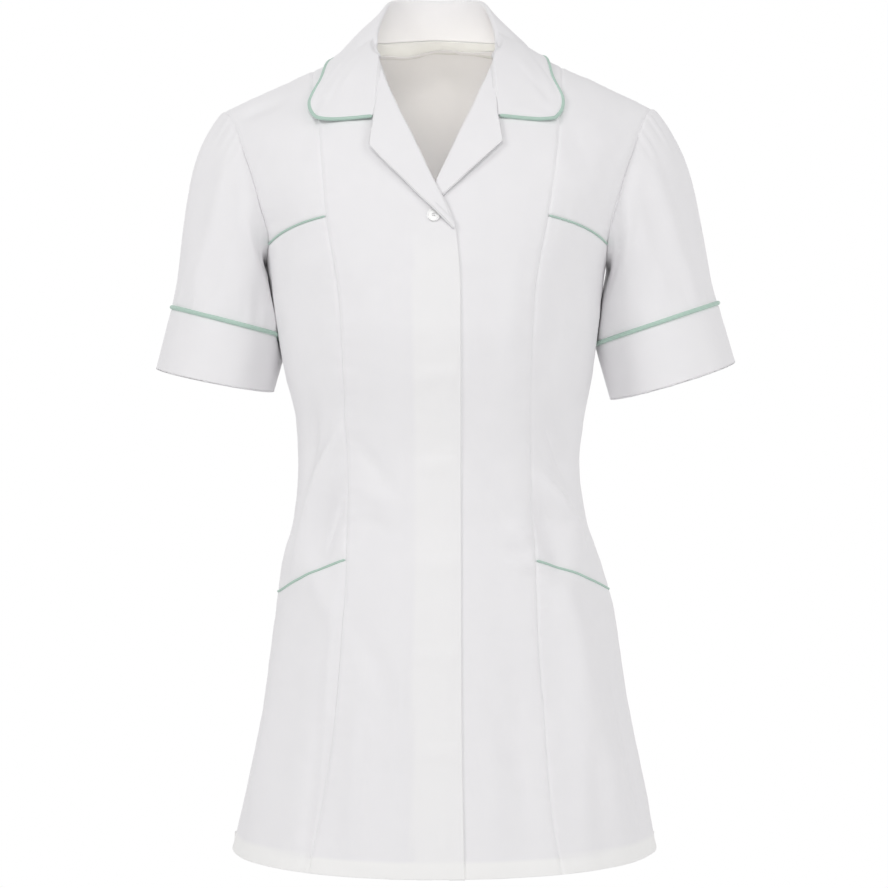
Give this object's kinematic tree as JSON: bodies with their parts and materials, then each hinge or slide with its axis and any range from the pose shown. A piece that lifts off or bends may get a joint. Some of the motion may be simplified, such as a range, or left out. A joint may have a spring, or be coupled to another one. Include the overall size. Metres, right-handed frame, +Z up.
{
  "type": "work tunic",
  "caption": "Women's white short-sleeved work tunic in its worn shape, with a turned-down collar and reveres, a concealed front fastening, piped seams, slanted pockets and a turned hem.",
  "frame": {"origin": "on the centre plane, level with the neck ends of the shoulder seams, where the wearer's shoulders hold the tunic", "axes": "+Z up from hem to collar, -Y the front of the tunic, +X towards the wearer's left"},
  "size_m": [0.5248, 0.2707, 0.7755],
  "materials": {
    "white_cloth": "matte plain-weave polyester-cotton",
    "green_piping": "matte corded piping",
    "neck_tape": "matte woven tape",
    "white_button": "satin polyester"
  },
  "bodies": {
    "root": {"back_upper": "white_cloth", "back_lower": "white_cloth", "front_right": "white_cloth", "front_left": "white_cloth", "side_front_upper_right": "white_cloth", "side_front_upper_left": "white_cloth", "side_front_middle_right": "white_cloth", "side_front_middle_left": "white_cloth", "side_front_lower_right": "white_cloth", "side_front_lower_left": "white_cloth", "sleeve_right": "white_cloth", "sleeve_left": "white_cloth", "cuff_right": "white_cloth", "cuff_left": "white_cloth", "collar": "white_cloth", "revere_right": "white_cloth", "revere_left": "white_cloth", "piping_collar": "green_piping", "piping_bust_right": "green_piping", "piping_bust_left": "green_piping", "piping_cuff_right": "green_piping", "piping_cuff_left": "green_piping", "piping_pocket_right": "green_piping", "piping_pocket_left": "green_piping", "neck_tape": "neck_tape", "button": "white_button"}
  },
  "joints": []
}
